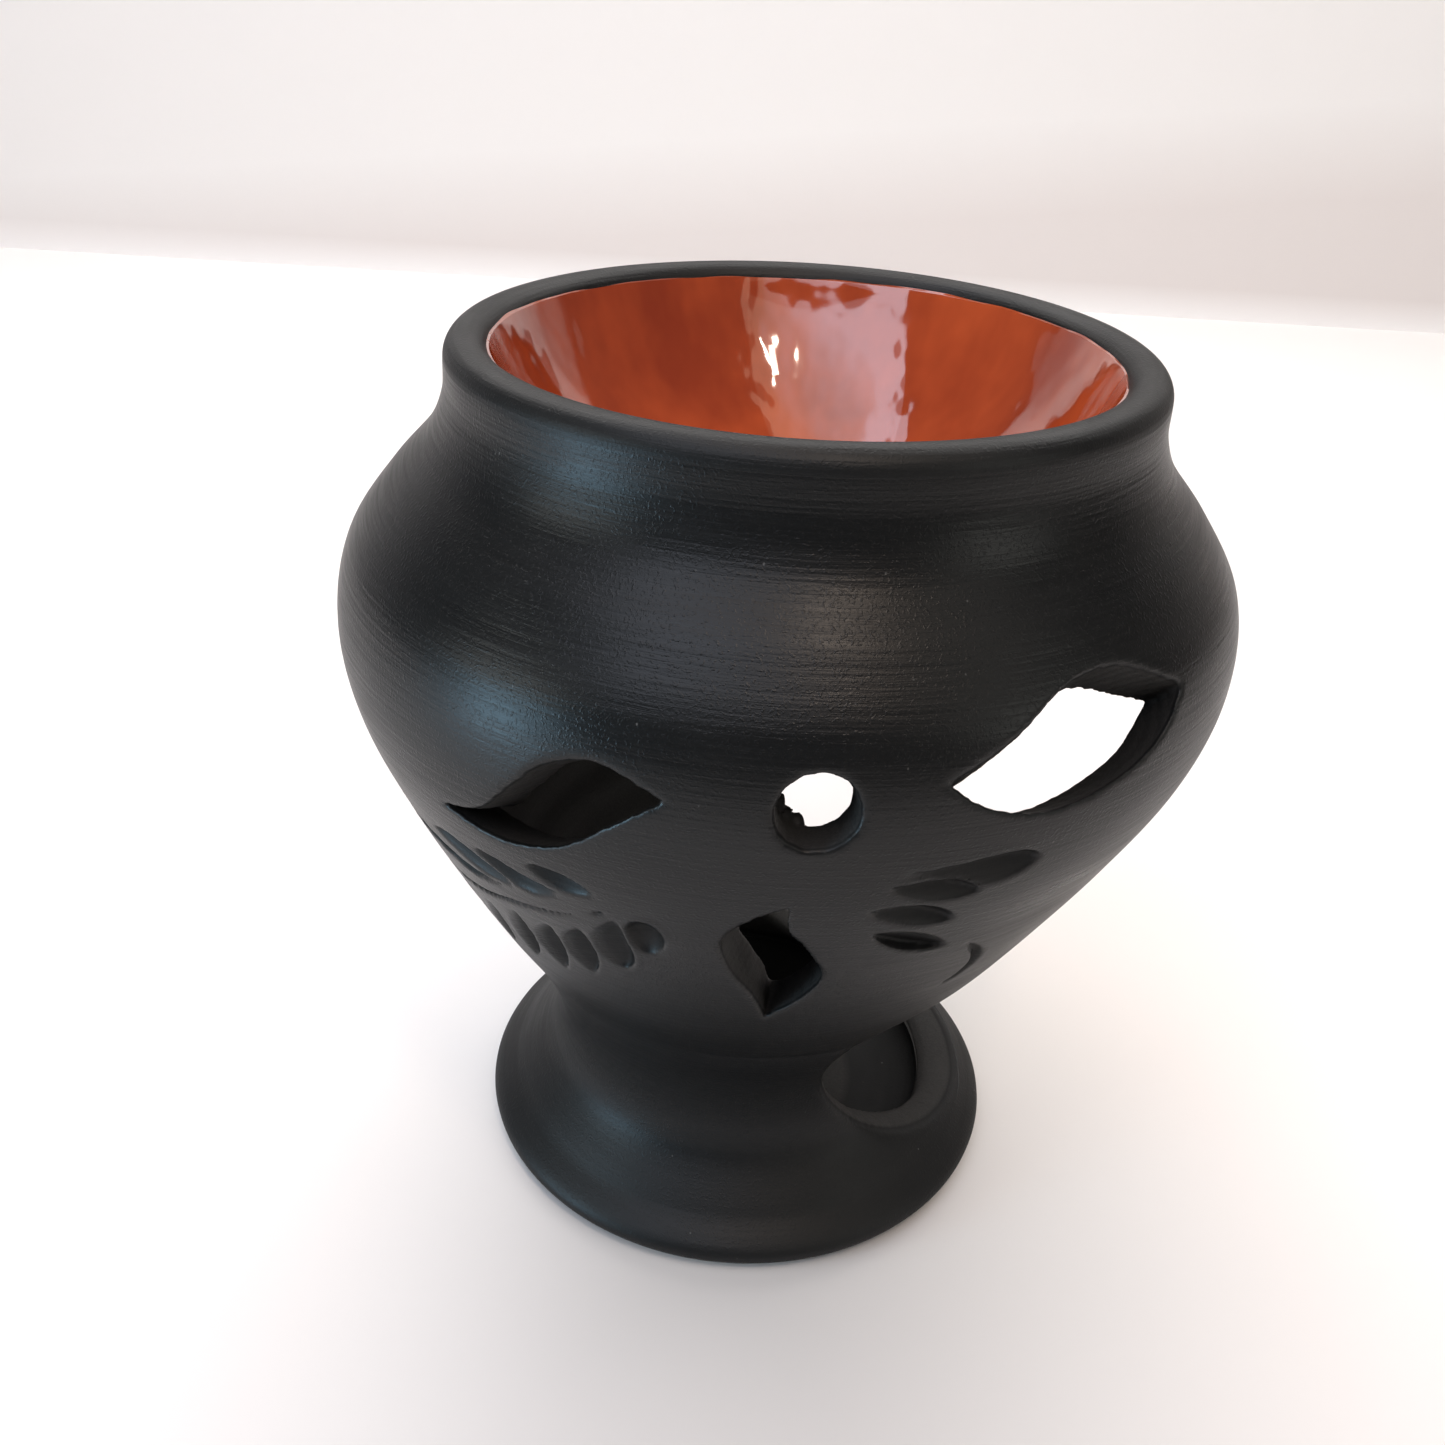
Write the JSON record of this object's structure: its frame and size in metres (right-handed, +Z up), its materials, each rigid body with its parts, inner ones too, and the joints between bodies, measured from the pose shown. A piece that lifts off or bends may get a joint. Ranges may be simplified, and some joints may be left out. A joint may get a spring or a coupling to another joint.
{
  "type": "oil burner",
  "caption": "Black burnished clay aroma lamp: a glazed oil bowl in the mouth of a pierced hollow pot with a side door for a tealight.",
  "frame": {"origin": "centre of the foot's underside, on the surface it stands on", "axes": "+Z up along the foot's axis, +X towards the door side, -Y towards the carved front"},
  "size_m": [0.104, 0.104, 0.11],
  "materials": {
    "black_clay": "smoke-fired black clay, burnished to a satin sheen",
    "orange_glaze": "glossy burnt-orange glaze"
  },
  "bodies": {
    "root": {"base_slab": "black_clay", "foot_wall": "black_clay", "lower_belly_wall": "black_clay", "upper_belly_wall": "black_clay", "neck_ring": "black_clay", "lip_coil": "black_clay", "oil_bowl": "black_clay", "bowl_glaze": "orange_glaze"}
  },
  "joints": []
}
